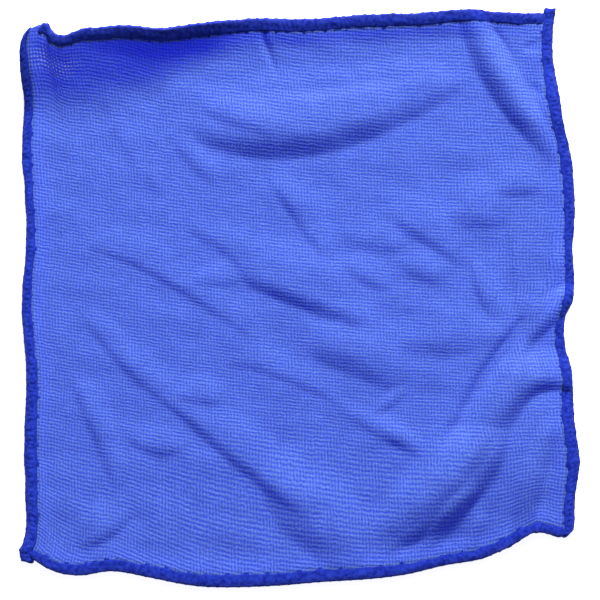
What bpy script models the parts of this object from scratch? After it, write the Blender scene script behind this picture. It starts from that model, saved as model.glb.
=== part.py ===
"""A square microfibre cleaning cloth, lying loose on a flat surface.

One panel of soft warp-knitted cloth, cut square, whose four raw edges are each bound by their own run of
overlock stitching. The left and right runs were sewn over the back and front ones, and a short end of the
thread chain is left on where they run off the cloth.

Metres, +Z up. The cloth lies on Z = 0 and is seen from above, with +X to the right and +Y to the back.
A place on the cut panel is (across, along): the distance from its left edge and from its front edge,
as if the panel were flat. Tables are in millimetres.
"""

import bpy
import bmesh
import numpy as np
from mathutils.geometry import delaunay_2d_cdt

MM = 0.001

# The cut panel and the thread that binds it
CLOTH_SIDE = 250 * MM  # both ways, to the outside of the edging
SHEET_THICKNESS = 1.0 * MM
EDGING_WIDTH = 5.6 * MM
EDGING_THICKNESS = 2.8 * MM
THREAD_WALL = 0.5 * MM  # thread below, above and outside the panel's edge
GAP = 0.3 * MM  # between any two pieces

# Where the panel's edge lies inside the edging
PANEL_INSET = THREAD_WALL + GAP
PANEL_RISE = THREAD_WALL + GAP
RISE_FADES_BY = 14 * MM  # inside this distance from the edge the panel lies on the surface again
SLOT_DEPTH_IN_CHAIN = 0.3 * MM  # what is left of the slot where the edging holds no cloth

# The thread chain past the cloth at the two ends of a run. Columns: length past the slot, share of full size
STUB = ((0.05 * MM, 1.0), (0.5 * MM, 1.0))
LONG_CHAIN = ((0.05 * MM, 1.0), (2.2 * MM, 1.0), (3.1 * MM, 0.72))

# How closely the shape is followed
EDGING_STEPS = 54
CORNER_STEPS = (2.4 * MM, 4.1 * MM)  # closer steps where two runs of edging meet
LATTICE = 10 * MM  # halved twice where the cloth is folded
BEND_TOLERANCE = 0.25 * MM
RIDGE_STEPS = 16
TAPER = 1.2  # how soon a fold dies out towards its ends
NORMAL_STEP = 0.5 * MM
HEM_PULL = 60 * MM  # how far a wave in an edge is felt in the panel
SETTLE = 0.35 * MM  # lower than this the cloth sinks flat onto the surface
END_REACH = 0.55  # share of its reach that a fold still has where it dies out
CLEAR_OF_LIP = 1.5 * MM  # no lattice point comes closer than this to the edging's lip
SAME_PLACE = 1e-7  # places closer than this are one

# The four edges as they lie, seen from above: columns x, y in mm
EDGE_LEFT = (
    (-127.0, -118.0),
    (-127.5, -115.0),
    (-125.5, -111.0),
    (-124.5, -106.0),
    (-124.5, -92.0),
    (-125.0, -65.0),
    (-124.0, -37.5),
    (-126.0, -1.0),
    (-124.0, 26.0),
    (-124.5, 44.5),
    (-126.0, 67.0),
    (-125.0, 90.0),
    (-126.5, 108.0),
    (-126.0, 115.0),
    (-125.0, 118.0),
)
EDGE_RIGHT = (
    (125.0, -106.0),
    (125.5, -99.0),
    (125.5, -92.0),
    (127.5, -74.0),
    (125.0, -55.5),
    (124.0, -35.5),
    (121.0, -21.5),
    (121.5, -7.0),
    (124.0, -0.5),
    (125.0, 5.0),
    (124.5, 21.5),
    (125.5, 40.0),
    (124.0, 62.5),
    (120.0, 81.0),
    (117.5, 96.5),
    (115.5, 110.5),
    (115.5, 121.5),
    (116.5, 129.5),
)
EDGE_FRONT = (
    (-127.0, -118.0),
    (-121.5, -119.0),
    (-114.5, -123.0),
    (-108.0, -125.5),
    (-100.5, -126.5),
    (-86.0, -124.5),
    (-68.0, -127.5),
    (-45.0, -131.5),
    (-17.5, -131.5),
    (9.5, -129.5),
    (46.0, -126.5),
    (68.5, -121.5),
    (82.5, -119.0),
    (91.5, -116.0),
    (97.5, -113.0),
    (101.5, -110.0),
    (106.0, -107.5),
    (112.0, -107.5),
    (118.0, -109.0),
    (121.5, -108.5),
    (125.0, -106.0),
)
EDGE_BACK = (
    (-125.0, 118.0),
    (-122.5, 121.0),
    (-119.0, 123.0),
    (-115.0, 124.0),
    (-112.5, 123.5),
    (-110.5, 120.0),
    (-106.5, 118.5),
    (-101.5, 120.0),
    (-97.0, 121.5),
    (-90.5, 122.0),
    (-79.0, 123.0),
    (-63.0, 122.0),
    (-45.0, 124.5),
    (-17.5, 127.0),
    (0.5, 126.5),
    (28.0, 128.5),
    (55.0, 129.5),
    (73.5, 131.0),
    (91.5, 130.0),
    (105.0, 129.5),
    (116.5, 129.5),
)

# The folds, as soft ridges along a curve through three points.
# Columns: start, middle, end (x, y in mm), height, and the reach of its left and right side in mm,
# left and right as one walks from start to end.
FOLDS = (
    # the broad crescent across the back half, and the sharp fold at the back right corner
    ((-56, 82), (3, 76), (84, 106), 2.7, 42, 15),
    ((-50, 82), (5, 76.5), (82, 105), 1.9, 22, 14),
    ((76, 136), (92, 100.5), (120, 60), 4.5, 9, 10.5),
    # the slope that runs down from the curled-up corner
    ((-150, 102), (-88, 124), (-20, 148), 5.4, 40, 34),
    # short pulls right of the middle
    ((-16, 60), (0, 39), (14, 17), 1.5, 18, 6),
    ((-55, 32), (-37, 26), (-19, 7), 1.1, 18, 6),
    ((-32, 13), (2, 2.5), (35, -11), 3.0, 32, 9.5),
    ((34, 42), (57, 30), (80, 11), 1.7, 20, 7),
    ((14, 31), (36, 25), (55, 21), 1.1, 12, 7),
    ((20, 17), (31, 11), (44, 3), 1.4, 13, 6.5),
    ((66, 40), (81, 39), (97, 35), 2.1, 26, 10),
    ((89, 50), (100, 51), (112, 50), 1.4, 20, 7),
    ((42, -18), (69, -17), (94, -15), 1.9, 24, 13),
    # from the notch in the right edge, down and round towards the front
    ((130, 5), (112, -7), (98, -27), 3.2, 8, 8),
    ((101, -17), (91, -47), (64, -92), 1.9, 8, 5.5),
    ((86, -80), (101, -40), (132, -42), 4.3, 18, 8.5),
    # the deep fold at the front right, and the slope behind it that runs down to the corner
    ((33, -117), (74, -85), (91, -59), 5.6, 26, 11),
    ((134, -54), (96, -71), (48, -114), 3.2, 38, 46),
    ((113, -57), (105, -84), (99, -114), 3.2, 7, 7.5),
    # the long creases from the left edge down to the front
    ((-104, 2), (-75, -32), (-40, -60), 1.4, 14, 6),
    ((-62, -44), (-26, -72), (8, -101), 2.3, 22, 7.5),
    ((-18, -78), (6, -100), (26, -125), 3.5, 28, 17),
    ((-106, -31), (-91, -60), (-78, -98), 1.5, 12, 6),
    ((-102, -114), (-88, -105), (-74, -94), 2.1, 18, 7),
    # between them
    ((0, -23), (27, -26), (48, -43), 3.0, 28, 13),
    ((-37, -29), (-7, -34), (27, -53), 1.3, 13, 5.5),
    ((15, -49), (37, -60), (61, -74), 1.1, 10, 5.5),
    ((-80, -60), (-64, -68), (-48, -64), 1.4, 14, 6),
)

# Where an edge curls up off the surface.
# Columns: edge, middle of the lift along it, half its length, height, reach into the cloth, in mm
LIFTS = (
    ("back", 25, 94, 9.0, 46),
    ("back", 140, 128, 5.0, 24),
    ("front", 224, 17, 2.0, 8),
    ("left", 4, 16, 1.5, 12),
)


def smooth_path(points):
    """The smooth curve through the points, read by the length along it, from 0 to CLOTH_SIDE."""
    knots = np.array(points) * MM
    steps = np.hypot(*np.diff(knots, axis=0).T)
    lengths = np.append(0.0, np.cumsum(steps))
    lengths *= CLOTH_SIDE / lengths[-1]
    slopes = np.gradient(knots, lengths, axis=0)

    def at(length):
        length = np.asarray(length, dtype=float)
        inside = np.clip(length, 0.0, CLOTH_SIDE)
        before = np.clip(np.searchsorted(lengths, inside, side="right") - 1, 0, len(knots) - 2)
        span = lengths[before + 1] - lengths[before]
        share = ((inside - lengths[before]) / span)[..., None]
        span = span[..., None]
        place = (
            (1 + 2 * share) * (1 - share) ** 2 * knots[before]
            + share * (1 - share) ** 2 * span * slopes[before]
            + share**2 * (3 - 2 * share) * knots[before + 1]
            + share**2 * (share - 1) * span * slopes[before + 1]
        )
        beyond = (length - inside)[..., None]
        return place + beyond * np.where(beyond < 0, slopes[0], slopes[-1])

    return at


EDGES = {
    "left": smooth_path(EDGE_LEFT),
    "right": smooth_path(EDGE_RIGHT),
    "front": smooth_path(EDGE_FRONT),
    "back": smooth_path(EDGE_BACK),
}


def distance_from(edge, across, along):
    """How far a place on the panel is from one of its edges, and how far along that edge."""
    return {
        "left": (across, along),
        "right": (CLOTH_SIDE - across, along),
        "front": (along, across),
        "back": (CLOTH_SIDE - along, across),
    }[edge]


def plan(across, along):
    """Where a place on the panel lies, seen from above: the straight panel, pulled by its wavy edges."""
    a, b = (across / CLOTH_SIDE)[..., None], (along / CLOTH_SIDE)[..., None]
    front_left, front_right = EDGES["front"](0.0), EDGES["front"](CLOTH_SIDE)
    back_left, back_right = EDGES["back"](0.0), EDGES["back"](CLOTH_SIDE)
    place = (1 - b) * ((1 - a) * front_left + a * front_right) + b * ((1 - a) * back_left + a * back_right)
    for edge, path in EDGES.items():
        inward, run = distance_from(edge, across, along)
        share = (run / CLOTH_SIDE)[..., None]
        straight = (1 - share) * path(0.0) + share * path(CLOTH_SIDE)
        depth = np.clip(inward / HEM_PULL, 0.0, 1.0)[..., None]
        place = place + (path(run) - straight) * (1 - depth) ** 2 * (1 + 2 * depth)
    return place


def bump(share):
    """A soft hump that is 1 at 0 and reaches 0, level, at -1 and 1."""
    return (1 - np.clip(np.abs(share), 0.0, 1.0) ** 2) ** 2


def ridge(places, start, middle, end, height, reach_left, reach_right):
    """The height of one fold over the places, tapered to nothing at both of its ends."""
    start, middle, end = (np.array(point) * MM for point in (start, middle, end))
    bend = 2 * middle - (start + end) / 2
    t = np.linspace(0.0, 1.0, RIDGE_STEPS + 1)[:, None]
    crest = (1 - t) ** 2 * start + 2 * t * (1 - t) * bend + t**2 * end
    run = np.diff(crest, axis=0)
    away = places[:, None, :] - crest[None, :-1, :]
    share = np.clip((away * run).sum(axis=2) / (run**2).sum(axis=1), 0.0, 1.0)
    away -= share[..., None] * run
    distance = np.linalg.norm(away, axis=2)
    nearest = distance.argmin(axis=1)
    each = np.arange(len(places))
    side = run[nearest, 0] * away[each, nearest, 1] - run[nearest, 1] * away[each, nearest, 0]
    along = (nearest + share[each, nearest]) / RIDGE_STEPS
    taper = (1 - (2 * along - 1) ** 2) ** TAPER
    reach = np.where(side > 0, reach_left, reach_right) * MM * (END_REACH + (1 - END_REACH) * taper)
    return height * MM * taper * bump(distance[each, nearest] / reach)


def lift(across, along, edge, middle, half_length, height, reach):
    """The height that one curled-up stretch of edge adds, steepest at the edge."""
    inward, run = distance_from(edge, across, along)
    share = np.clip(1 - ((run - middle * MM) / (half_length * MM)) ** 2, 0.0, 1.0)
    depth = np.clip(1 - inward / (reach * MM * (0.3 + 0.7 * share**2)), 0.0, None)
    return height * MM * share**1.25 * depth**1.5


def settle(height):
    """Lays low places flat on the surface, with no kink where the cloth leaves it."""
    height = height - SETTLE
    eased = (height + SETTLE) ** 2 / (4 * SETTLE)
    return np.where(height > SETTLE, height, np.where(height < -SETTLE, 0.0, eased))


def resting_shape(across, along):
    """The cloth's underside as it lies, for places on the panel, as points."""
    place = plan(across, along)
    height = np.zeros(len(place))
    for fold in FOLDS:
        height += ridge(place, *fold)
    for curl in LIFTS:
        height += lift(across, along, *curl)
    return np.column_stack([place, settle(height)])


def on_cloth(across, along, height):
    """Points at a height above the cloth's underside, square to it."""
    across, along, height = np.broadcast_arrays(*(np.asarray(n, dtype=float) for n in (across, along, height)))
    step = NORMAL_STEP
    tangent_across = resting_shape(across + step, along) - resting_shape(across - step, along)
    tangent_along = resting_shape(across, along + step) - resting_shape(across, along - step)
    normal = np.cross(tangent_across, tangent_along)
    normal /= np.linalg.norm(normal, axis=1, keepdims=True)
    return resting_shape(across, along) + normal * height[:, None]


def place_on(edge, run, inset):
    """The place (across, along) at a run along one edge and a distance in from it."""
    return {
        "left": (inset, run),
        "right": (CLOTH_SIDE - inset, run),
        "front": (run, inset),
        "back": (run, CLOTH_SIDE - inset),
    }[edge]


def even_runs():
    """The steps that the panel and its edging share along an edge, between the two crossing runs of edging."""
    first = EDGING_WIDTH + GAP
    return [float(run) for run in np.linspace(first, CLOTH_SIDE - first, EDGING_STEPS + 1)]


def full_runs():
    """The shared steps along a left or right edge, which go on into the corners."""
    return [*CORNER_STEPS, *even_runs(), *(CLOTH_SIDE - step for step in CORNER_STEPS[::-1])]


def ladder(edge, runs):
    """Lines on the panel under one run of edging: its border, the edging's lip, and rungs and diagonals."""
    border = [place_on(edge, run, PANEL_INSET) for run in runs]
    lip = [place_on(edge, run, EDGING_WIDTH) for run in runs]
    rails = [*zip(border, border[1:]), *zip(lip, lip[1:])]
    rungs = [*zip(border, lip), *zip(border, lip[1:])]
    return rails + rungs


def edge_lines():
    """All the lines that the panel's triangles follow round its edges."""
    far = CLOTH_SIDE - PANEL_INSET
    sides = [PANEL_INSET, *full_runs(), far]
    lines = ladder("left", sides) + ladder("right", sides)
    lines += ladder("front", even_runs()) + ladder("back", even_runs())
    for short_edge, end in (("front", PANEL_INSET), ("back", far)):
        for long_edge, run in (("left", even_runs()[0]), ("right", even_runs()[-1])):
            lines.append((place_on(long_edge, end, EDGING_WIDTH), place_on(short_edge, run, PANEL_INSET)))
    return lines


def bend_at(across, along, step):
    """How far the cloth between neighbours a step away lies off the straight line between them."""
    here = resting_shape(across, along)[:, 2]
    pairs = ((step, 0.0), (0.0, step), (step, step), (step, -step))
    off = [
        here - (resting_shape(across + a, along + b)[:, 2] + resting_shape(across - a, along - b)[:, 2]) / 2
        for a, b in pairs
    ]
    return np.abs(off).max(axis=0)


def inner_places():
    """Places inside the edging: an even lattice, with finer points only where the cloth bends."""
    places = []
    margin = EDGING_WIDTH + CLEAR_OF_LIP
    for level, step in enumerate((LATTICE, LATTICE / 2, LATTICE / 4)):
        count = round(CLOTH_SIDE / step)
        index = np.arange(1, count)
        i, j = (grid.ravel() for grid in np.meshgrid(index, index))
        if level:
            finer = (i % 2 == 1) | (j % 2 == 1)
            i, j = i[finer], j[finer]
        across, along = i * step, j * step
        inside = np.minimum.reduce([across, along, CLOTH_SIDE - across, CLOTH_SIDE - along]) > margin
        across, along = across[inside], along[inside]
        if level:
            bent = bend_at(across, along, step) > BEND_TOLERANCE
            across, along = across[bent], along[bent]
        places += list(zip(across, along))
    return places


def panel_rise(across, along):
    """The panel is held up where it enters the edging, and comes down onto the surface inside it."""
    inward = np.minimum.reduce([across, along, CLOTH_SIDE - across, CLOTH_SIDE - along])
    depth = np.clip((inward - EDGING_WIDTH) / (RISE_FADES_BY - EDGING_WIDTH), 0.0, 1.0)
    return PANEL_RISE * (1 - depth) ** 2 * (1 + 2 * depth)


def add_object(name, bm, material):
    mesh = bpy.data.meshes.new(name)
    bm.to_mesh(mesh)
    bm.free()
    mesh.materials.append(material)
    obj = bpy.data.objects.new(name, mesh)
    bpy.context.collection.objects.link(obj)
    return obj


def make_panel(material):
    """The knitted panel: triangles over the flat panel, laid in its folds, and given the sheet's thickness."""
    lines = edge_lines()
    places = list(dict.fromkeys(place for line in lines for place in line))
    index = {place: i for i, place in enumerate(places)}
    lines = [(index[a], index[b]) for a, b in lines]
    places += inner_places()
    flat, _, triangles, *_ = delaunay_2d_cdt(places, lines, [], 1, SAME_PLACE)
    across, along = np.array(flat).T
    rise = panel_rise(across, along)
    underside = on_cloth(across, along, rise)
    topside = on_cloth(across, along, rise + SHEET_THICKNESS)

    bm = bmesh.new()
    low = [bm.verts.new(point) for point in underside]
    high = [bm.verts.new(point) for point in topside]
    bm.verts.index_update()
    for triangle in triangles:
        bm.faces.new([low[i] for i in reversed(triangle)])
    for edge in [edge for edge in bm.edges if edge.is_boundary]:
        loop = edge.link_loops[0]
        a, b = loop.vert.index, loop.link_loop_next.vert.index
        bm.faces.new([low[b], low[a], high[a], high[b]])
    for triangle in triangles:
        bm.faces.new([high[i] for i in triangle])
    return add_object("cloth_panel", bm, material)


SLOT_TOP = 7  # the corner of the section where the slot's upper face starts


def edging_section(slot_depth, share):
    """The edging's cross-section as (inset, height): a flattened bead of thread with a slot for the cloth."""
    width, thickness, wall = EDGING_WIDTH, EDGING_THICKNESS, THREAD_WALL
    slot_end = width - slot_depth
    slot_top = PANEL_RISE + SHEET_THICKNESS + GAP
    section = [
        (width, 0.0),
        (0.15 * width, 0.0),
        (0.0, 0.3 * thickness),
        (0.0, 0.65 * thickness),
        (0.15 * width, 0.9 * thickness),
        (0.55 * width, thickness),
        (width, slot_top + wall),
        (width, slot_top),
        (slot_end, slot_top),
        (slot_end, wall),
        (width, wall),
    ]
    middle = width / 2
    return [(middle + (inset - middle) * share, height * share) for inset, height in section]


def edging_rows(start, end, runs, start_chain, end_chain):
    """Rows of (run, slot depth, share of the full size) along one edge, from chain end to chain end."""
    deep = EDGING_WIDTH - THREAD_WALL
    rows = [(run, deep, 1.0) for run in [start, *runs, end]]
    before = [(start - length, SLOT_DEPTH_IN_CHAIN * share, share) for length, share in start_chain]
    after = [(end + length, SLOT_DEPTH_IN_CHAIN * share, share) for length, share in end_chain]
    return before[::-1] + rows + after


def make_edging(name, edge, rows, material):
    """One run of overlock stitching: its cross-section carried along one edge of the cloth."""
    bm = bmesh.new()
    rings = []
    for run, slot_depth, share in rows:
        points = [(*place_on(edge, run, inset), height) for inset, height in edging_section(slot_depth, share)]
        rings.append([bm.verts.new(point) for point in on_cloth(*np.array(points).T)])
    for near, far in zip(rings, rings[1:]):
        for i in range(len(near)):
            j = (i + 1) % len(near)
            if i == SLOT_TOP:  # the slot's two faces are cut across as the panel's own are
                bm.faces.new([near[i], near[j], far[i]])
                bm.faces.new([near[j], far[j], far[i]])
            else:
                bm.faces.new([near[i], near[j], far[j]])
                bm.faces.new([near[i], far[j], far[i]])
    bm.faces.new(rings[0])
    bm.faces.new(rings[-1])
    bmesh.ops.recalc_face_normals(bm, faces=bm.faces[:])
    return add_object(name, bm, material)


def make_material(name, colour, roughness):
    material = bpy.data.materials.new(name)
    material.use_nodes = True
    shader = material.node_tree.nodes["Principled BSDF"]
    shader.inputs["Base Color"].default_value = (*colour, 1.0)
    shader.inputs["Roughness"].default_value = roughness
    shader.inputs["Metallic"].default_value = 0.0
    return material


def centre_on_origin(objects):
    """Puts the origin under the middle of the cloth's own box, on the surface it lies on."""
    corners = np.concatenate([[tuple(vert.co) for vert in obj.data.vertices] for obj in objects])
    middle = (corners.min(axis=0) + corners.max(axis=0)) / 2
    middle[2] = corners[:, 2].min()
    for obj in objects:
        for vert in obj.data.vertices:
            vert.co -= type(vert.co)(middle)


def build():
    for obj in list(bpy.data.objects):
        bpy.data.objects.remove(obj)
    knit = make_material("knit_blue", (0.091, 0.159, 0.745), 0.75)
    thread = make_material("thread_dark_blue", (0.030, 0.056, 0.578), 0.7)

    # The left and right runs hold the panel's corners; the back and front ones stop short of them.
    panel_start = PANEL_INSET - GAP
    panel_end = CLOTH_SIDE - panel_start
    between_start = EDGING_WIDTH + GAP
    between_end = CLOTH_SIDE - between_start
    pieces = [make_panel(knit)]
    left_rows = edging_rows(panel_start, panel_end, full_runs(), LONG_CHAIN, STUB)
    right_rows = edging_rows(panel_start, panel_end, full_runs(), STUB, LONG_CHAIN)
    short_rows = edging_rows(between_start, between_end, even_runs()[1:-1], (), ())
    pieces.append(make_edging("edging_left", "left", left_rows, thread))
    pieces.append(make_edging("edging_right", "right", right_rows, thread))
    pieces.append(make_edging("edging_back", "back", short_rows, thread))
    pieces.append(make_edging("edging_front", "front", short_rows, thread))
    centre_on_origin(pieces)


build()
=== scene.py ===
"""A blue microfibre cleaning cloth, overlocked round its edges, lying creased on a pale surface.

Metres, +Z up; +X is the cloth's right side and +Y its back edge. A place on the cloth is (across, along), the
distance from its left edge and from its front edge as if it were flat. Tables are in millimetres.
"""

import math

import bpy
import numpy as np
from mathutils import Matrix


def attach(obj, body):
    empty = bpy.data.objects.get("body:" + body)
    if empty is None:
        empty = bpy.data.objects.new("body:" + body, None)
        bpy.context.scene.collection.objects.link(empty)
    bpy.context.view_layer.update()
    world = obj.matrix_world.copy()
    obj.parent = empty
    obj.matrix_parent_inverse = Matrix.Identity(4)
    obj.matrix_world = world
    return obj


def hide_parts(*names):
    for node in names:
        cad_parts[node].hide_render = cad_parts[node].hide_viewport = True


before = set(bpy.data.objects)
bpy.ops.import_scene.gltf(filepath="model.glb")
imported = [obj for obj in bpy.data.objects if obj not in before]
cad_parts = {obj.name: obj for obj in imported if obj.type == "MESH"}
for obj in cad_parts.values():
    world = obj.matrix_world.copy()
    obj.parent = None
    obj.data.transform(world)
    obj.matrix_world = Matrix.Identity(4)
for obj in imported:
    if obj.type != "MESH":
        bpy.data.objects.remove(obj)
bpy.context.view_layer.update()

MM = 0.001


# ---- The knitted square ------------------------------------------------------------------------------------
# One square of soft warp-knitted microfibre, cut with raw edges and slid into the overlock stitching. It was
# dropped onto the surface, so it lies in soft folds, with the back left corner curled up.

CLOTH_SIDE = 250 * MM
EDGING_WIDTH = 5.6 * MM
CUT_INSET = 0.8 * MM  # the raw edge lies this far inside the edging's outside
KNIT_THICKNESS = 0.9 * MM
KNIT_CELLS = 218
PART_CENTRE = np.array((0.216 * MM, -0.002 * MM))  # what the part was moved by to lie centred on the origin
HEM_PULL = 60 * MM  # how far in from a wavy edge the cloth is pulled by it
SETTLE = 0.35 * MM  # the cloth eases onto the surface over this height
END_REACH = 0.55  # a fold's reach at its ends, as a share of that in its middle
TAPER = 1.2  # how fast a fold falls away towards its ends
LIFT_END_REACH = 0.3  # a curled-up stretch's reach at its ends, as a share of that in its middle
LIFT_TAPER = 1.25  # how fast it comes down towards its ends
LIFT_CURL = 1.5  # how much steeper it gets towards the edge
PILE = 0.15 * MM  # the pile keeps the knit this far off the surface
SLACK_HEIGHT = 0.6 * MM  # how far the loose cloth stands off the surface between its folds
SLACK_FROM_EDGE = 12 * MM  # it comes down to the surface over this distance from its edges
EDGE_RISE = 0.8 * MM  # the edging holds the knit up this far
EDGE_RISE_ENDS = 14 * MM  # and this far in from the edge it is down again

# The four edges as they lie, seen from above: x, y
EDGE_LEFT = (
    (-127.0, -118.0), (-127.5, -115.0), (-125.5, -111.0), (-124.5, -106.0), (-124.5, -92.0), (-125.0, -65.0),
    (-124.0, -37.5), (-126.0, -1.0), (-124.0, 26.0), (-124.5, 44.5), (-126.0, 67.0), (-125.0, 90.0),
    (-126.5, 108.0), (-126.0, 115.0), (-125.0, 118.0),
)
EDGE_RIGHT = (
    (125.0, -106.0), (125.5, -99.0), (125.5, -92.0), (127.5, -74.0), (125.0, -55.5), (124.0, -35.5),
    (121.0, -21.5), (121.5, -7.0), (124.0, -0.5), (125.0, 5.0), (124.5, 21.5), (125.5, 40.0), (124.0, 62.5),
    (120.0, 81.0), (117.5, 96.5), (115.5, 110.5), (115.5, 121.5), (116.5, 129.5),
)
EDGE_FRONT = (
    (-127.0, -118.0), (-121.5, -119.0), (-114.5, -123.0), (-108.0, -125.5), (-100.5, -126.5), (-86.0, -124.5),
    (-68.0, -127.5), (-45.0, -131.5), (-17.5, -131.5), (9.5, -129.5), (46.0, -126.5), (68.5, -121.5),
    (82.5, -119.0), (91.5, -116.0), (97.5, -113.0), (101.5, -110.0), (106.0, -107.5), (112.0, -107.5),
    (118.0, -109.0), (121.5, -108.5), (125.0, -106.0),
)
EDGE_BACK = (
    (-125.0, 118.0), (-122.5, 121.0), (-119.0, 123.0), (-115.0, 124.0), (-112.5, 123.5), (-110.5, 120.0),
    (-106.5, 118.5), (-101.5, 120.0), (-97.0, 121.5), (-90.5, 122.0), (-79.0, 123.0), (-63.0, 122.0),
    (-45.0, 124.5), (-17.5, 127.0), (0.5, 126.5), (28.0, 128.5), (55.0, 129.5), (73.5, 131.0), (91.5, 130.0),
    (105.0, 129.5), (116.5, 129.5),
)

# The folds, as soft ridges along a curve through three points, or troughs where the height is below 0.
# Columns: start, middle, end (x, y), height, and the reach of the left and right side, walking from the start
FOLDS = (
    # the broad crescent across the back half, and the sharp fold at the back right corner
    ((-56, 82), (3, 76), (84, 106), 2.7, 42, 15),
    ((-50, 82), (5, 76.5), (82, 105), 1.9, 22, 14),
    ((76, 136), (92, 100.5), (120, 60), 4.5, 9, 10.5),
    # the slope that runs down from the curled-up corner
    ((-150, 102), (-88, 124), (-20, 148), 5.4, 40, 34),
    # short pulls right of the middle
    ((-16, 60), (0, 39), (14, 17), 1.5, 18, 6),
    ((-55, 32), (-37, 26), (-19, 7), 1.1, 18, 6),
    ((-32, 13), (2, 2.5), (35, -11), 3.0, 32, 9.5),
    ((34, 42), (57, 30), (80, 11), 1.7, 20, 7),
    ((14, 31), (36, 25), (55, 21), 1.1, 12, 7),
    ((20, 17), (31, 11), (44, 3), 1.4, 13, 6.5),
    ((66, 40), (81, 39), (97, 35), 2.1, 26, 10),
    ((89, 50), (100, 51), (112, 50), 1.4, 20, 7),
    ((42, -18), (69, -17), (94, -15), 1.9, 24, 13),
    # from the notch in the right edge, down and round towards the front
    ((130, 5), (112, -7), (98, -27), 3.2, 8, 8),
    ((101, -17), (91, -47), (64, -92), 1.9, 8, 5.5),
    ((86, -80), (101, -40), (132, -42), 4.3, 18, 8.5),
    # the deep fold at the front right, and the slope behind it that runs down to the corner
    ((33, -117), (74, -85), (91, -59), 5.6, 26, 11),
    ((134, -54), (96, -71), (48, -114), 3.2, 38, 46),
    ((113, -57), (105, -84), (99, -114), 3.2, 7, 7.5),
    # the long creases from the left edge down to the front
    ((-104, 2), (-75, -32), (-40, -60), 1.4, 14, 6),
    ((-62, -44), (-26, -72), (8, -101), 2.3, 22, 7.5),
    ((-18, -78), (6, -100), (26, -125), 3.5, 28, 17),
    ((-106, -31), (-91, -60), (-78, -98), 1.5, 12, 6),
    ((-102, -114), (-88, -105), (-74, -94), 2.1, 18, 7),
    # between them
    ((0, -23), (27, -26), (48, -43), 3.0, 28, 13),
    ((-37, -29), (-7, -34), (27, -53), 1.3, 13, 5.5),
    ((15, -49), (37, -60), (61, -74), 1.1, 10, 5.5),
    ((-80, -60), (-64, -68), (-48, -64), 1.4, 14, 6),
)

# Finer creases that lie over the folds, with the same columns
CREASES = (
    # the two prongs at the left end of the crescent, and the dimple along its back
    ((-46, 88), (-30, 83), (-8, 74), 1.0, 14, 6),
    ((-24, 93), (18, 95), (62, 103), -0.6, 5.5, 5.5),
    # the dart in the back edge, and the puckers inside the back edge and the back right corner
    ((-18, 124), (-14, 112), (-9, 99), -1.1, 3, 3),
    ((84, 124), (92, 117), (97, 108), -0.8, 3, 3),
    ((101, 115), (107, 114), (114, 118), -1.2, 3.5, 4),
    ((106, 98), (108, 94), (111, 90), -0.8, 3.5, 3.5),
    ((130, 85), (118, 88), (105, 98), 1.7, 21, 16),
    # faint slanting lines at the left
    ((-86, 86), (-75, 62), (-59, 46), 0.3, 9, 3.5),
    ((-60, 76), (-47, 62), (-35, 50), 0.7, 10, 4),
    ((-100, 24), (-66, 13), (-12, -24), 0.9, 14, 4),
    ((-48, 8), (-37, 8.3), (-25, 8), 0.7, 9, 4),
    # right of the middle
    ((44, 18), (57, 13), (67, 7), 1.2, 12, 7),
    ((38, -59), (46, -64), (55, -70), 0.7, 7, 4),
    # pulls that run together above the notch, and the valley that leads from it down to the front
    ((93, 38), (95, 12), (98, -10), -1.1, 4, 8),
    ((79, 18), (83, 4), (89, -10), 1.2, 9, 3.5),
    ((116, 34), (114, 8), (100, -13), 1.2, 6, 4),
    ((119, 0), (88, -32), (60, -88), -1.5, 6, 6.5),
    ((114, 5), (82, -29), (54, -86), 1.0, 5, 14),
    ((-56, -42), (-44, -45), (-31, -46), 0.9, 12, 5),
    ((22, -67), (38, -64), (52, -62), 0.6, 13, 6),
    ((33, -53), (41, -47), (49, -40), 0.8, 4, 4),
    # the front right corner
    ((104, -64), (112, -61), (122, -63), 0.7, 9, 6),
    ((80, -84), (69, -97), (54, -116), 2.2, 7, 5),
    ((28, -112), (66, -83), (84, -58), 1.5, 16, 9),
    ((83, -97), (80, -106), (76, -117), 1.0, 5, 4),
)

# Where an edge curls up off the surface.
# Columns: edge, middle of the lift along it, half its length, height, reach into the cloth
LIFTS = (
    ("back", 25, 94, 9.0, 46),
    ("back", 140, 128, 5.0, 24),
    ("front", 224, 17, 2.0, 8),
    ("left", 4, 16, 1.5, 12),
)

# The waves that make up the unevenness of the loose cloth.
# Columns: shortest and longest, how many, seed of their random draw, height
SLACK_WAVES = (
    ((14, 40), 16, 3, 0.22),
    ((5, 11), 24, 8, 0.045),
)


def smooth_path(points):
    """The smooth curve through the points, read by the length along it, from 0 to CLOTH_SIDE."""
    knots = np.array(points) * MM
    lengths = np.append(0.0, np.cumsum(np.hypot(*np.diff(knots, axis=0).T)))
    lengths *= CLOTH_SIDE / lengths[-1]
    slopes = np.gradient(knots, lengths, axis=0)

    def at(length):
        length = np.asarray(length, dtype=float)
        inside = np.clip(length, 0.0, CLOTH_SIDE)
        before = np.clip(np.searchsorted(lengths, inside, side="right") - 1, 0, len(knots) - 2)
        span = lengths[before + 1] - lengths[before]
        t = ((inside - lengths[before]) / span)[..., None]
        span = span[..., None]
        place = (
            (1 + 2 * t) * (1 - t) ** 2 * knots[before]
            + t * (1 - t) ** 2 * span * slopes[before]
            + t**2 * (3 - 2 * t) * knots[before + 1]
            + t**2 * (t - 1) * span * slopes[before + 1]
        )
        beyond = (length - inside)[..., None]
        return place + beyond * np.where(beyond < 0, slopes[0], slopes[-1])

    return at


EDGES = {
    "left": smooth_path(EDGE_LEFT),
    "right": smooth_path(EDGE_RIGHT),
    "front": smooth_path(EDGE_FRONT),
    "back": smooth_path(EDGE_BACK),
}


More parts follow.
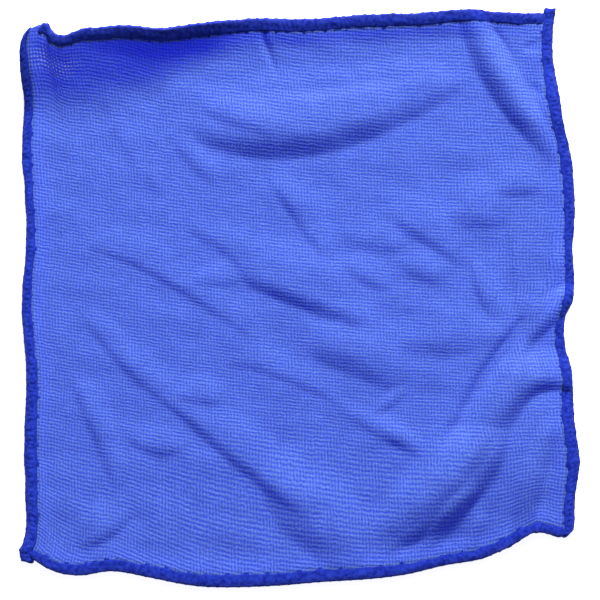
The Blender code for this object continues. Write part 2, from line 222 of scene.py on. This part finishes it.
def distance_from(edge, across, along):
    """How far a place on the cloth is from one of its edges, and how far along that edge."""
    return {
        "left": (across, along),
        "right": (CLOTH_SIDE - across, along),
        "front": (along, across),
        "back": (CLOTH_SIDE - along, across),
    }[edge]


def inward_from_edges(across, along):
    """How far a place on the cloth is from the nearest of its edges."""
    return np.minimum.reduce([across, along, CLOTH_SIDE - across, CLOTH_SIDE - along])


def plan(across, along):
    """Where a place on the cloth lies, seen from above: the straight square, pulled by its wavy edges."""
    a, b = (across / CLOTH_SIDE)[..., None], (along / CLOTH_SIDE)[..., None]
    front_left, front_right = EDGES["front"](0.0), EDGES["front"](CLOTH_SIDE)
    back_left, back_right = EDGES["back"](0.0), EDGES["back"](CLOTH_SIDE)
    place = (1 - b) * ((1 - a) * front_left + a * front_right) + b * ((1 - a) * back_left + a * back_right)
    for edge, path in EDGES.items():
        inward, run = distance_from(edge, across, along)
        share = (run / CLOTH_SIDE)[..., None]
        straight = (1 - share) * path(0.0) + share * path(CLOTH_SIDE)
        depth = np.clip(inward / HEM_PULL, 0.0, 1.0)[..., None]
        place = place + (path(run) - straight) * (1 - depth) ** 2 * (1 + 2 * depth)
    return place


def bump(share):
    """A soft hump that is 1 at 0 and reaches 0, level, at -1 and 1."""
    return (1 - np.clip(np.abs(share), 0.0, 1.0) ** 2) ** 2


def ridge(places, start, middle, end, height, reach_left, reach_right):
    """The height of one fold over the places, tapered to nothing at both of its ends."""
    segments = 16
    start, middle, end = (np.array(point) * MM for point in (start, middle, end))
    t = np.linspace(0.0, 1.0, segments + 1)[:, None]
    crest = (1 - t) ** 2 * start + 2 * t * (1 - t) * (2 * middle - (start + end) / 2) + t**2 * end
    heights = np.zeros(len(places))
    reach = max(reach_left, reach_right) * MM
    near = np.flatnonzero(
        (places > crest.min(axis=0) - reach).all(axis=1) & (places < crest.max(axis=0) + reach).all(axis=1)
    )
    if not len(near):
        return heights
    run = np.diff(crest, axis=0)
    away = places[near][:, None, :] - crest[None, :-1, :]
    share = np.clip((away * run).sum(axis=2) / (run**2).sum(axis=1), 0.0, 1.0)
    away -= share[..., None] * run
    distance = np.linalg.norm(away, axis=2)
    nearest = distance.argmin(axis=1)
    each = np.arange(len(near))
    side = run[nearest, 0] * away[each, nearest, 1] - run[nearest, 1] * away[each, nearest, 0]
    taper = (1 - (2 * (nearest + share[each, nearest]) / segments - 1) ** 2) ** TAPER
    reach = np.where(side > 0, reach_left, reach_right) * MM * (END_REACH + (1 - END_REACH) * taper)
    heights[near] = height * MM * taper * bump(distance[each, nearest] / reach)
    return heights


def lift(across, along, edge, middle, half_length, height, reach):
    """The height that one curled-up stretch of edge adds, steepest at the edge."""
    inward, run = distance_from(edge, across, along)
    share = np.clip(1 - ((run - middle * MM) / (half_length * MM)) ** 2, 0.0, 1.0)
    reach = reach * MM * (LIFT_END_REACH + (1 - LIFT_END_REACH) * share**2)
    depth = np.clip(1 - inward / reach, 0.0, None)
    return height * MM * share**LIFT_TAPER * depth**LIFT_CURL


def settle(height):
    """Lays low places flat on the surface, with no kink where the cloth leaves it."""
    height = height - SETTLE
    eased = (height + SETTLE) ** 2 / (4 * SETTLE)
    return np.where(height > SETTLE, height, np.where(height < -SETTLE, 0.0, eased))


def slack(places, wavelengths, count, seed):
    """The soft unevenness of cloth that nothing pulls tight, from -1 to 1 or so: waves that run every way."""
    draw = np.random.default_rng(seed)
    total = np.zeros(len(places))
    for _ in range(count):
        turn, start = draw.uniform(0, 2 * math.pi, 2)
        wave = 2 * math.pi / (draw.uniform(*wavelengths) * MM)
        total += np.sin(places @ (math.cos(turn) * wave, math.sin(turn) * wave) + start)
    return total / math.sqrt(count)


def resting_shape(across, along):
    """The cloth's underside as it lies, for places on it, as points."""
    place = plan(across, along)
    height = np.zeros(len(place))
    for fold in FOLDS:
        height += ridge(place, *fold)
    for curl in LIFTS:
        height += lift(across, along, *curl)
    height = settle(height)
    uneven = sum(size * MM * slack(place, *waves) for *waves, size in SLACK_WAVES)
    height += (SLACK_HEIGHT + uneven) * np.clip(inward_from_edges(across, along) / SLACK_FROM_EDGE, 0.0, 1.0)
    for crease in CREASES:
        height += ridge(place, *crease)
    return np.column_stack([place - PART_CENTRE, np.maximum(height, 0.0)])


def on_cloth(across, along, height):
    """Points at a height above the cloth's underside, square to it."""
    step = 0.4 * MM
    across, along, height = (np.asarray(n, dtype=float) for n in (across, along, height))
    tangent_across = resting_shape(across + step, along) - resting_shape(across - step, along)
    tangent_along = resting_shape(across, along + step) - resting_shape(across, along - step)
    normal = np.cross(tangent_across, tangent_along)
    normal /= np.linalg.norm(normal, axis=1, keepdims=True)
    return resting_shape(across, along) + normal * height[:, None]


def corners_of(obj):
    """The corners of a mesh, one row each."""
    points = np.empty(len(obj.data.vertices) * 3)
    obj.data.vertices.foreach_get("co", points)
    return points.reshape(-1, 3)


def move_corners(obj, points):
    """Puts the corners of a mesh at new points."""
    obj.data.vertices.foreach_set("co", np.asarray(points, dtype=float).ravel())
    obj.data.update()


def set_uv(obj, places):
    """Writes a place for each corner of a mesh into its only UV map."""
    corner_of_loop = np.empty(len(obj.data.loops), dtype=int)
    obj.data.loops.foreach_get("vertex_index", corner_of_loop)
    obj.data.uv_layers[0].uv.foreach_set("vector", places[corner_of_loop].astype(np.float32).ravel())


bpy.ops.object.select_all(action="DESELECT")
bpy.ops.mesh.primitive_grid_add(
    x_subdivisions=KNIT_CELLS,
    y_subdivisions=KNIT_CELLS,
    size=CLOTH_SIDE - 2 * CUT_INSET,
    location=(CLOTH_SIDE / 2, CLOTH_SIDE / 2, 0),
    calc_uvs=True,
)
knit = bpy.context.object
knit.name = "knitted_square"
bpy.ops.object.transform_apply(location=True, rotation=False, scale=False)
flat = corners_of(knit)[:, :2]

# The flat cloth's own measure, in metres, goes with it as its UV map
knit.data.uv_layers[0].name = "flat"
set_uv(knit, flat)

across, along = flat.T
past_edging = inward_from_edges(across, along) - EDGING_WIDTH
depth = np.clip(past_edging / (EDGE_RISE_ENDS - EDGING_WIDTH), 0.0, 1.0)
rise = EDGE_RISE * (1 - depth) ** 2 * (1 + 2 * depth)
move_corners(knit, on_cloth(across, along, rise + PILE + KNIT_THICKNESS / 2))

thicken = knit.modifiers.new("thickness", "SOLIDIFY")
thicken.thickness = KNIT_THICKNESS
thicken.offset = 0.0
bpy.ops.object.modifier_apply(modifier=thicken.name)
bpy.ops.object.shade_smooth()


def add_node(tree, kind, inputs=None, **settings):
    """One shader node. Its inputs go by name or number, and each is a value or another node's output."""
    node = tree.nodes.new("ShaderNode" + kind)
    for name, value in settings.items():
        setattr(node, name, value)
    for name, value in (inputs or {}).items():
        if isinstance(value, bpy.types.NodeSocket):
            tree.links.new(value, node.inputs[name])
        else:
            node.inputs[name].default_value = value
    return node


def reckon(tree, operation, *values, **settings):
    """The result of one sum on numbers or sockets."""
    return add_node(tree, "Math", dict(enumerate(values)), operation=operation, **settings).outputs[0]


def fade(tree, value, start, end, low=0.0, high=1.0, **settings):
    """Goes from low to high as a value goes from start to end."""
    return add_node(tree, "MapRange", {0: value, 1: start, 2: end, 3: low, 4: high}, **settings).outputs[0]


def blend_colours(tree, share, first, second, kind="MIX"):
    """A share of the second colour over the first, each a colour or a socket."""
    node = add_node(tree, "Mix", {0: share}, data_type="RGBA", blend_type=kind)
    for socket, value in ((node.inputs[6], first), (node.inputs[7], second)):
        if isinstance(value, bpy.types.NodeSocket):
            tree.links.new(value, socket)
        else:
            socket.default_value = (*value, 1.0)
    return node.outputs[2]


def noise(tree, where, scale, detail=2.0, rough=0.5):
    """Noise from 0 to 1 round a middle of 0.5; scale is how many features there are to the metre."""
    inputs = {"Vector": where, "Scale": scale, "Detail": detail, "Roughness": rough}
    return add_node(tree, "TexNoise", inputs).outputs["Fac"]


def drift(tree, where, scale, reach):
    """Noise to both sides of 0, half the reach each way at most."""
    return reckon(tree, "MULTIPLY", reckon(tree, "SUBTRACT", noise(tree, where, scale), 0.5), reach)


def spread(tree, value, low, high):
    """Goes from low to high as a value goes from 0 to 1, and on beyond."""
    return reckon(tree, "MULTIPLY_ADD", value, high - low, low)


def new_finish(name, surface):
    """A material, its node tree and its surface shader, whose plain inputs are given."""
    finish = bpy.data.materials.new(name)
    finish.use_nodes = True
    shader = finish.node_tree.nodes["Principled BSDF"]
    for socket, value in surface.items():
        shader.inputs[socket].default_value = value
    return finish, finish.node_tree, shader


# The knit: upright wales crossed by courses that droop to the right, with painted shade in the small pores
# between the loops
WALE_PITCH = 1.41 * MM
COURSE_PITCH = 1.64 * MM
COURSE_DROOP = 0.27  # the slope of the courses at the left edge
DROOP_EASES = 0.45  # half of what it loses in each metre across, so that they are nearly level at the right
WANDERS = ((55.0, 0.9), (420.0, 0.8))  # how rows and columns stray: features to the metre, reach in loops
WALES_SHOW = 0.64  # how strongly the wales and the courses show where the loops don't tip
COURSES_SHOW = 0.20
TIPS = (-0.45, 1.05)  # how far the loops tip, from where the wales show more to where the courses do
LOOP_SHARE = 0.56  # of light loop where the waves of wales and courses are at 0
LOOP_SWING = 0.47  # and how much they change it
LOOP_RELIEF = 0.28 * MM
LOOPS_STAND = 0.8  # shares of the relief
FIBRES_STAND = 0.35
LOOP_BLUE = (0.222, 0.394, 0.760)
# painted shade: the pores are painted dark for the shaded surface under the knit that shows through them
PORE_SHADE_BLUE = (0.028, 0.070, 0.600)
EDGE_LIGHT_BLUE = (0.222, 0.394, 1.0)  # painted light: the loops beside the edging are painted a brighter blue, for the light from below that the edging keeps off
EDGE_LIGHT_FROM_EDGE = (13.0 * MM, 6.5 * MM)  # where that starts and where it is full
STAND_OFF_SHADE_HEIGHTS = (2.0 * MM, 10.0 * MM)  # painted shade: the knit is painted darker between these heights as it stands off the white surface
STAND_OFF_SHADE = 0.92
THROUGH_BLUE = (0.0, 0.006, 0.79, 1.0)  # the light that comes through the knit from the surface under it
THROUGH_SHARE = 0.5  # of what is seen
PULLED_MIDDLE = (18.0 * MM, 235.0 * MM)  # the oval near the back left corner where the pores stand open
PULLED_HALF = (15.0 * MM, 7.5 * MM)
PULLED_FADE = (1.0, 0.2)  # from its rim to where they are widest, by the square of the way from its middle
OPEN_WAVES = (1.1, 1.8)  # the sum of the two waves where an open pore starts and where it is full
# painted light: the lit white surface seen through the open pores
PAINTED_PORE_LIGHT = (0.85, 0.88, 1.0)
PORE_LIGHT_SHARE = 0.6  # of painted light, in a pore that is fully open
PATCHES = (0.83, 1.17)  # how the lightness differs from patch to patch, and from speck to speck
SPECKLES = (0.25, 1.75)

# The noises of the knit. Columns: features to the metre, detail, roughness
TIP_NOISE = (190.0, 2.0, 0.5)
FIBRE_NOISE = (2600.0, 3.0, 0.65)
PATCH_NOISE = (130.0, 3.0, 0.6)
SPECKLE_NOISE = (1250.0, 2.0, 0.6)

knit_surface = {
    "Roughness": 0.72,
    "Specular IOR Level": 0.25,
    "Sheen Weight": 0.18,
    "Sheen Roughness": 0.45,
    "Sheen Tint": (0.62, 0.72, 1.0, 1.0),
}
knit_finish, tree, shader = new_finish("blue_microfibre_knit", knit_surface)
uv = add_node(tree, "UVMap", uv_map="flat").outputs[0]
split = add_node(tree, "SeparateXYZ", {0: uv})
x, y = split.outputs[0], split.outputs[1]

# the loops, in rows and columns that wander a little
wander = reckon(tree, "ADD", *(drift(tree, uv, scale, reach) for scale, reach in WANDERS))
wales = reckon(tree, "ADD", reckon(tree, "DIVIDE", x, WALE_PITCH), wander)
slant = reckon(tree, "SUBTRACT", COURSE_DROOP, reckon(tree, "MULTIPLY", x, DROOP_EASES))
droop = reckon(tree, "MULTIPLY", x, slant)
courses = reckon(tree, "ADD", reckon(tree, "DIVIDE", reckon(tree, "ADD", y, droop), COURSE_PITCH), wander)
wale_wave = reckon(tree, "SINE", reckon(tree, "MULTIPLY", wales, 2 * math.pi))
course_wave = reckon(tree, "SINE", reckon(tree, "MULTIPLY", courses, 2 * math.pi))
# here the courses show more and there the wales, as the loops tip one way or the other
tip = spread(tree, noise(tree, uv, *TIP_NOISE), *TIPS)
wale_part = reckon(tree, "MULTIPLY", wale_wave, reckon(tree, "SUBTRACT", WALES_SHOW, tip))
course_part = reckon(tree, "MULTIPLY", course_wave, reckon(tree, "ADD", COURSES_SHOW, tip))
waves = reckon(tree, "ADD", wale_part, course_part)
loops = reckon(tree, "MULTIPLY_ADD", waves, LOOP_SWING, LOOP_SHARE, use_clamp=True)

# the loops stand up between the pores, and their fibres are fluffy
standing_loops = reckon(tree, "MULTIPLY", loops, LOOPS_STAND)
standing_fibres = reckon(tree, "MULTIPLY", noise(tree, uv, *FIBRE_NOISE), FIBRES_STAND)
height = reckon(tree, "ADD", standing_loops, standing_fibres)
relief = add_node(tree, "Bump", {"Height": height, "Strength": 0.7, "Distance": LOOP_RELIEF})
tree.links.new(relief.outputs[0], shader.inputs["Normal"])

# light loops and dark pores of painted shade, patchy and speckled
from_sides = reckon(tree, "MINIMUM", x, reckon(tree, "SUBTRACT", CLOTH_SIDE, x))
from_ends = reckon(tree, "MINIMUM", y, reckon(tree, "SUBTRACT", CLOTH_SIDE, y))
# painted light beside the edging
edge_light = fade(tree, reckon(tree, "MINIMUM", from_sides, from_ends), *EDGE_LIGHT_FROM_EDGE)
colour = blend_colours(tree, loops, PORE_SHADE_BLUE, blend_colours(tree, edge_light, LOOP_BLUE, EDGE_LIGHT_BLUE))
patches = spread(tree, noise(tree, uv, *PATCH_NOISE), *PATCHES)
speckles = spread(tree, noise(tree, uv, *SPECKLE_NOISE), *SPECKLES)
stand_off = add_node(tree, "SeparateXYZ", {0: add_node(tree, "TexCoord").outputs["Object"]}).outputs[2]
# painted shade where the knit stands off the white surface, over the patchy, speckled tone
stand_off_shade = fade(tree, stand_off, *STAND_OFF_SHADE_HEIGHTS, 1.0, STAND_OFF_SHADE, interpolation_type="SMOOTHSTEP")
tone_and_shade = reckon(tree, "MULTIPLY", reckon(tree, "MULTIPLY", patches, speckles), stand_off_shade)
shade = add_node(tree, "CombineColor", {0: tone_and_shade, 1: tone_and_shade, 2: tone_and_shade}).outputs[0]
colour = blend_colours(tree, 1.0, colour, shade, "MULTIPLY")

# painted light: where the back left corner is pulled, pale dots are painted into the open pores for the lit
# white surface seen through them
outward = [
    reckon(tree, "POWER", reckon(tree, "DIVIDE", reckon(tree, "SUBTRACT", place, middle), half), 2.0)
    for place, middle, half in zip((x, y), PULLED_MIDDLE, PULLED_HALF)
]
pulled = fade(tree, reckon(tree, "ADD", *outward), *PULLED_FADE)
pore = fade(tree, reckon(tree, "ADD", wale_wave, course_wave), *OPEN_WAVES)
lit_pore_dots = reckon(tree, "MULTIPLY", reckon(tree, "MULTIPLY", pore, pulled), PORE_LIGHT_SHARE)
colour = blend_colours(tree, lit_pore_dots, colour, PAINTED_PORE_LIGHT)
tree.links.new(colour, shader.inputs["Base Color"])

# half of what is seen is blue light that comes through the knit, so its shade is a deep blue
through = add_node(tree, "BsdfTranslucent", {"Color": THROUGH_BLUE})
share = reckon(tree, "MULTIPLY_ADD", lit_pore_dots, -THROUGH_SHARE, THROUGH_SHARE)
both = add_node(tree, "MixShader", {0: share, 1: shader.outputs[0], 2: through.outputs[0]})
tree.links.new(both.outputs[0], tree.nodes["Material Output"].inputs["Surface"])
knit.data.materials.append(knit_finish)

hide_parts("cloth_panel")
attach(knit, "root")


# ---- The overlock edging -----------------------------------------------------------------------------------
# Each raw edge is bound by its own run of three-thread overlock: a needle thread that dips through the cloth
# once a stitch, and bulky textured looper threads that swing out to the edge and back, above and below.

STITCH = 4.5 * MM
THREAD_WIDTH = 3.1 * MM  # bulky thread, flattened where it lies on the cloth
THREAD_HEIGHT = 0.7 * MM
ROLL_WIDTH = 5.4 * MM
ROLL_HEIGHT = 2.0 * MM
ROLL_MIDDLE = (2.8 * MM, 1.2 * MM)  # inset and height
ROLL_SQUARENESS = 0.6  # 1 is an ellipse and 0 a box
ROLL_SIDES = 20
ROLL_RING = 1.5 * MM  # the roll bends with the cloth at rings this far apart

# How far the stitches stray along the edge and across it, and the share by which their height differs, each
# with the shortest and longest of its waves
RUN_SWAY = 0.45 * MM
RUN_WAVES = (5, 14)
INSET_SWAY = 0.14 * MM
INSET_WAVES = (6, 18)
PLUMPNESS_SWAY = 0.06
PLUMPNESS_WAVES = (3, 9)
WAVE_COUNT = 8

# How wide the edging shows, as a share of its full width. Columns: distance along the edge, share
SHOWN_WIDTH = {
    "left": ((0, 1.1), (60, 1.15), (90, 1.02), (120, 0.88), (170, 0.8), (200, 0.9), (235, 1.1), (250, 1.1)),
    "right": (
        (0, 1.1), (50, 1.15), (85, 0.9), (110, 0.78), (140, 0.85), (170, 1.05), (215, 1.12), (250, 0.95),
    ),
    "front": ((0, 0.95), (60, 1.12), (150, 1.08), (195, 0.95), (220, 1.25), (236, 1.0), (250, 1.0)),
    "back": ((0, 1.0), (90, 1.1), (180, 1.15), (215, 1.05), (250, 1.0)),
}

# One stitch of each thread, as it goes along the edge.
# Columns: run in stitches, inset, height, share of full size
UPPER_LOOPER = (
    (0.00, 5.35, 1.30, 0.35),
    (0.07, 4.95, 1.75, 0.70),
    (0.20, 3.70, 1.97, 1.00),
    (0.34, 2.10, 1.97, 1.00),
    (0.44, 1.45, 1.85, 0.90),
    (0.50, 1.30, 1.75, 0.85),
    (0.56, 1.45, 1.85, 0.90),
    (0.66, 2.10, 1.97, 1.00),
    (0.80, 3.70, 1.97, 1.00),
    (0.93, 4.95, 1.75, 0.70),
    (1.00, 5.40, 1.30, 0.35),
)
LOWER_LOOPER = (
    (0.00, 5.20, 0.80, 0.40),
    (0.14, 3.90, 0.45, 0.85),
    (0.32, 2.00, 0.45, 0.95),
    (0.50, 0.80, 0.75, 0.85),
    (0.68, 2.00, 0.45, 0.95),
    (0.86, 3.90, 0.45, 0.85),
    (1.00, 5.20, 0.80, 0.40),
)
NEEDLE_THREAD = (
    (0.02, 5.35, 1.10, 0.25),
    (0.14, 5.45, 1.60, 0.38),
    (0.50, 5.50, 1.80, 0.45),
    (0.86, 5.45, 1.60, 0.38),
    (0.98, 5.35, 1.10, 0.25),
)

bpy.ops.object.select_all(action="DESELECT")
bpy.ops.curve.primitive_bezier_circle_add(radius=0.5, location=(0, 0, 0))
thread_section = bpy.context.object
thread_section.data.resolution_u = 2
thread_section.scale = (THREAD_WIDTH, THREAD_HEIGHT, 1.0)
bpy.ops.object.transform_apply(location=False, rotation=False, scale=True)


def thread_stitch(points):
    """One stitch of one thread, as a flattened tube that thins where it goes through the cloth."""
    bpy.ops.object.select_all(action="DESELECT")
    bpy.ops.curve.primitive_nurbs_path_add(radius=1.0, location=(0, 0, 0))
    thread = bpy.context.object
    curve = thread.data
    curve.splines.remove(curve.splines[0])
    spline = curve.splines.new("NURBS")
    spline.points.add(len(points) - 1)
    for point, (run, inset, height, share) in zip(spline.points, points):
        point.co = (run * STITCH, inset * MM, height * MM, 1.0)
        point.radius = share
    spline.order_u = 4
    spline.use_endpoint_u = True
    spline.resolution_u = 2
    curve.dimensions = "3D"
    curve.twist_mode = "Z_UP"
    curve.bevel_mode = "OBJECT"
    curve.bevel_object = thread_section
    curve.use_fill_caps = True
    bpy.ops.object.convert(target="MESH")
    return bpy.context.object


def repeat(obj, count, pitch):
    """A row of copies along the edge, in one mesh."""
    bpy.context.view_layer.objects.active = obj
    row = obj.modifiers.new("row", "ARRAY")
    row.count = count
    row.use_relative_offset = False
    row.use_constant_offset = True
    row.constant_offset_displace = (pitch, 0, 0)
    bpy.ops.object.modifier_apply(modifier=row.name)


def raw_edge_roll(length):
    """The raw edge of the cloth and the thread ends, rolled tight inside the stitches."""
    bpy.ops.object.select_all(action="DESELECT")
    bpy.ops.mesh.primitive_cylinder_add(
        vertices=ROLL_SIDES,
        radius=1.0,
        depth=length,
        end_fill_type="TRIFAN",
        location=(length / 2, 0, 0),
        rotation=(0, math.pi / 2, 0),
    )
    bpy.ops.object.transform_apply(location=True, rotation=True, scale=False)
    roll = bpy.context.object
    bpy.ops.object.mode_set(mode="EDIT")
    for cut in np.arange(ROLL_RING, length, ROLL_RING):
        bpy.ops.mesh.select_all(action="SELECT")
        bpy.ops.mesh.bisect(plane_co=(cut, 0, 0), plane_no=(1, 0, 0))
    bpy.ops.object.mode_set(mode="OBJECT")
    run, *section = corners_of(roll).T
    squared = [np.sign(part) * np.abs(part) ** ROLL_SQUARENESS for part in section]
    inset = ROLL_MIDDLE[0] + squared[0] * ROLL_WIDTH / 2
    height = ROLL_MIDDLE[1] + squared[1] * ROLL_HEIGHT / 2
    move_corners(roll, np.column_stack([run, inset, height]))
    return roll


# The thread: dark royal blue, greyer with lint round the outside and darker there as painted shade, darkest
# with painted shade in the furrow beside the needle thread, and mottled with painted highlights where its
# loose fibres catch the light and painted shade where they part to show the dark between
THREAD_BLUE = (0.014, 0.038, 0.455)
THREAD_LINT_AND_SHADE = (0.024, 0.040, 0.360)
# painted shade, in the furrow and between parted fibres
THREAD_SHADE_NAVY = (0.004, 0.013, 0.290)
THREAD_LIGHT = (0.026, 0.066, 0.620)
LINT_AND_SHADE_INSETS = (3.0 * MM, 0.4 * MM)  # where the greyer outside with its painted shade starts and where it is full
FURROW_SHADE_INSETS = (4.0 * MM, 5.2 * MM)  # and the same for the painted shade in the furrow
FURROW_SHADE_SHARE = 0.5  # how strongly the painted shade darkens the thread, and how much that comes and goes with each stitch
FURROW_SHADE_SWING = 0.3
LIGHT_STRANDS = (0.50, 0.72)  # the noise of the strands where the light ones start and where they are full
LIGHT_SHARE = 0.6
PARTED_SHADE_CLUMPS = (0.56, 0.38)  # and that of the clumps for the painted shade between them
PARTED_SHADE_SHARE = 0.85
THREAD_RELIEF = 0.22 * MM

# The noises of the thread, with the same columns as those of the knit
CLUMP_NOISE = (560.0, 2.0, 0.6)
STRAND_NOISE = (3200.0, 3.0, 0.7)

thread_surface = {
    "Roughness": 0.75,
    "Specular IOR Level": 0.12,
    "Sheen Weight": 0.03,
    "Sheen Roughness": 0.5,
    "Sheen Tint": (0.30, 0.45, 1.0, 1.0),
}
thread_finish, tree, shader = new_finish("dark_blue_overlock_thread", thread_surface)
uv = add_node(tree, "UVMap", uv_map="sewn").outputs[0]
split = add_node(tree, "SeparateXYZ", {0: uv})
run, inset = split.outputs[0], split.outputs[1]
where = add_node(tree, "TexCoord").outputs["Object"]
clumps = noise(tree, where, *CLUMP_NOISE)
strands = noise(tree, where, *STRAND_NOISE)
colour = blend_colours(tree, fade(tree, inset, *LINT_AND_SHADE_INSETS), THREAD_BLUE, THREAD_LINT_AND_SHADE)
colour = blend_colours(tree, fade(tree, strands, *LIGHT_STRANDS, high=LIGHT_SHARE), colour, THREAD_LIGHT)
stitch_wave = reckon(tree, "SINE", reckon(tree, "MULTIPLY", run, 2 * math.pi / STITCH))
stitch_shade = reckon(tree, "MULTIPLY_ADD", stitch_wave, FURROW_SHADE_SWING, FURROW_SHADE_SHARE)
# painted shade in the furrow beside the needle thread
furrow_shade = reckon(tree, "MULTIPLY", fade(tree, inset, *FURROW_SHADE_INSETS), stitch_shade)
# painted shade where the fibre clumps part
parted_shade = fade(tree, clumps, *PARTED_SHADE_CLUMPS, high=PARTED_SHADE_SHARE)
colour = blend_colours(tree, reckon(tree, "MAXIMUM", parted_shade, furrow_shade), colour, THREAD_SHADE_NAVY)
tree.links.new(colour, shader.inputs["Base Color"])
relief = add_node(tree, "Bump", {"Height": strands, "Strength": 0.6, "Distance": THREAD_RELIEF})
tree.links.new(relief.outputs[0], shader.inputs["Normal"])


def sew_straight(name, length):
    """One run of overlock along the x axis, round its roll, in one mesh."""
    count = round(length / STITCH)
    threads = [thread_stitch(points) for points in (UPPER_LOOPER, LOWER_LOOPER, NEEDLE_THREAD)]
    for thread in threads:
        repeat(thread, count, length / count)
    roll = raw_edge_roll(length)
    bpy.ops.object.select_all(action="DESELECT")
    for piece in (*threads, roll):
        piece.select_set(True)
    bpy.context.view_layer.objects.active = roll
    bpy.ops.object.join()
    roll.name = name
    roll.data.name = name
    return roll


def lay_edging(name, edge, start, end, seed):
    """Sews one run of edging straight, and lays it on its edge of the cloth, a little unevenly."""
    edging = sew_straight(name, end - start)
    run, inset, height = corners_of(edging).T
    sewn = np.column_stack([run, inset])
    while edging.data.uv_layers:
        edging.data.uv_layers.remove(edging.data.uv_layers[0])
    edging.data.uv_layers.new(name="sewn")
    set_uv(edging, sewn)
    run = run + start + RUN_SWAY * slack(sewn, RUN_WAVES, WAVE_COUNT, seed)
    shown = np.interp(run / MM, *zip(*SHOWN_WIDTH[edge]))
    inset = inset * shown + INSET_SWAY * slack(sewn, INSET_WAVES, WAVE_COUNT, seed + 1)
    height = height * (1 + PLUMPNESS_SWAY * slack(sewn, PLUMPNESS_WAVES, WAVE_COUNT, seed + 2))
    across, along = {
        "left": (inset, run),
        "right": (CLOTH_SIDE - inset, run),
        "front": (run, inset),
        "back": (run, CLOTH_SIDE - inset),
    }[edge]
    move_corners(edging, on_cloth(across, along, height))
    bpy.ops.object.mode_set(mode="EDIT")
    bpy.ops.mesh.select_all(action="SELECT")
    bpy.ops.mesh.normals_make_consistent(inside=False)
    bpy.ops.object.mode_set(mode="OBJECT")
    bpy.ops.object.shade_smooth()
    edging.data.materials.clear()
    edging.data.materials.append(thread_finish)
    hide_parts(name.replace("overlock", "edging"))
    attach(edging, "root")
    return edging


CROSSING = EDGING_WIDTH + 0.3 * MM  # the back and front runs stop short of the left and right ones
CHAIN_END = 2.0 * MM  # of thread chain left on past the corner
BACK_START = 12.0 * MM  # the back run starts past the curled tip of the back left corner
edgings = [
    lay_edging("overlock_left", "left", -CHAIN_END, CLOTH_SIDE, seed=11),
    lay_edging("overlock_right", "right", 0.0, CLOTH_SIDE + CHAIN_END, seed=21),
    lay_edging("overlock_back", "back", BACK_START, CLOTH_SIDE - CROSSING, seed=31),
    lay_edging("overlock_front", "front", CROSSING, CLOTH_SIDE - CROSSING, seed=41),
]
bpy.data.objects.remove(thread_section)


# ---- The surface, the light and the camera -----------------------------------------------------------------
# A plain white table lit by a broad window from behind the cloth, a little to the right, and seen from
# straight above through a long lens.

TABLE_SIDE = 3.0
TABLE_TOP = -0.05 * MM  # a hair under the cloth
TABLE_GLOW = 0.86
WINDOW_ELEVATION = math.radians(30)
WINDOW_TURN = math.radians(11)  # from straight behind, towards the right
WINDOW_DISTANCE = 2.4
WINDOW_SIZE = 0.75
WINDOW_WATTS = 129
ROOM_LIGHT = 0.15
CAMERA_HEIGHT = 1.3
CAMERA_AIM = np.array((0.45 * MM, -1.14 * MM))  # in the measure of the edges' tables
FRAME_WIDTH = 0.273  # metres of table across the picture
SENSOR_WIDTH = 36.0  # in millimetres, as the camera has it
WHITE = (1.0, 1.0, 1.0, 1.0)

bpy.ops.mesh.primitive_plane_add(size=TABLE_SIDE, location=(0, 0, TABLE_TOP))
table = bpy.context.object
table.name = "table"
table_surface = {
    "Base Color": (0.85, 0.85, 0.85, 1.0),
    "Roughness": 0.9,
    "Specular IOR Level": 0.1,
    "Emission Color": WHITE,
    "Emission Strength": TABLE_GLOW,
}
table_finish, tree, shader = new_finish("white_table", table_surface)
table.data.materials.append(table_finish)

flat_distance = WINDOW_DISTANCE * math.cos(WINDOW_ELEVATION)
bpy.ops.object.light_add(
    type="AREA",
    location=(
        flat_distance * math.sin(WINDOW_TURN),
        flat_distance * math.cos(WINDOW_TURN),
        WINDOW_DISTANCE * math.sin(WINDOW_ELEVATION),
    ),
    rotation=(-(math.pi / 2 - WINDOW_ELEVATION), 0, -WINDOW_TURN),
)
window = bpy.context.object
window.name = "window"
window.data.shape = "DISK"
window.data.size = WINDOW_SIZE
window.data.energy = WINDOW_WATTS

world = bpy.context.scene.world or bpy.data.worlds.new("room")
bpy.context.scene.world = world
world.use_nodes = True
background = world.node_tree.nodes["Background"]
background.inputs["Color"].default_value = WHITE
background.inputs["Strength"].default_value = ROOM_LIGHT

bpy.ops.object.camera_add(location=(*(CAMERA_AIM - PART_CENTRE), CAMERA_HEIGHT))
camera = bpy.context.object
camera.name = "camera"
camera.data.sensor_width = SENSOR_WIDTH
camera.data.lens = SENSOR_WIDTH * CAMERA_HEIGHT / FRAME_WIDTH
bpy.context.scene.camera = camera
bpy.context.scene.view_settings.view_transform = "Standard"
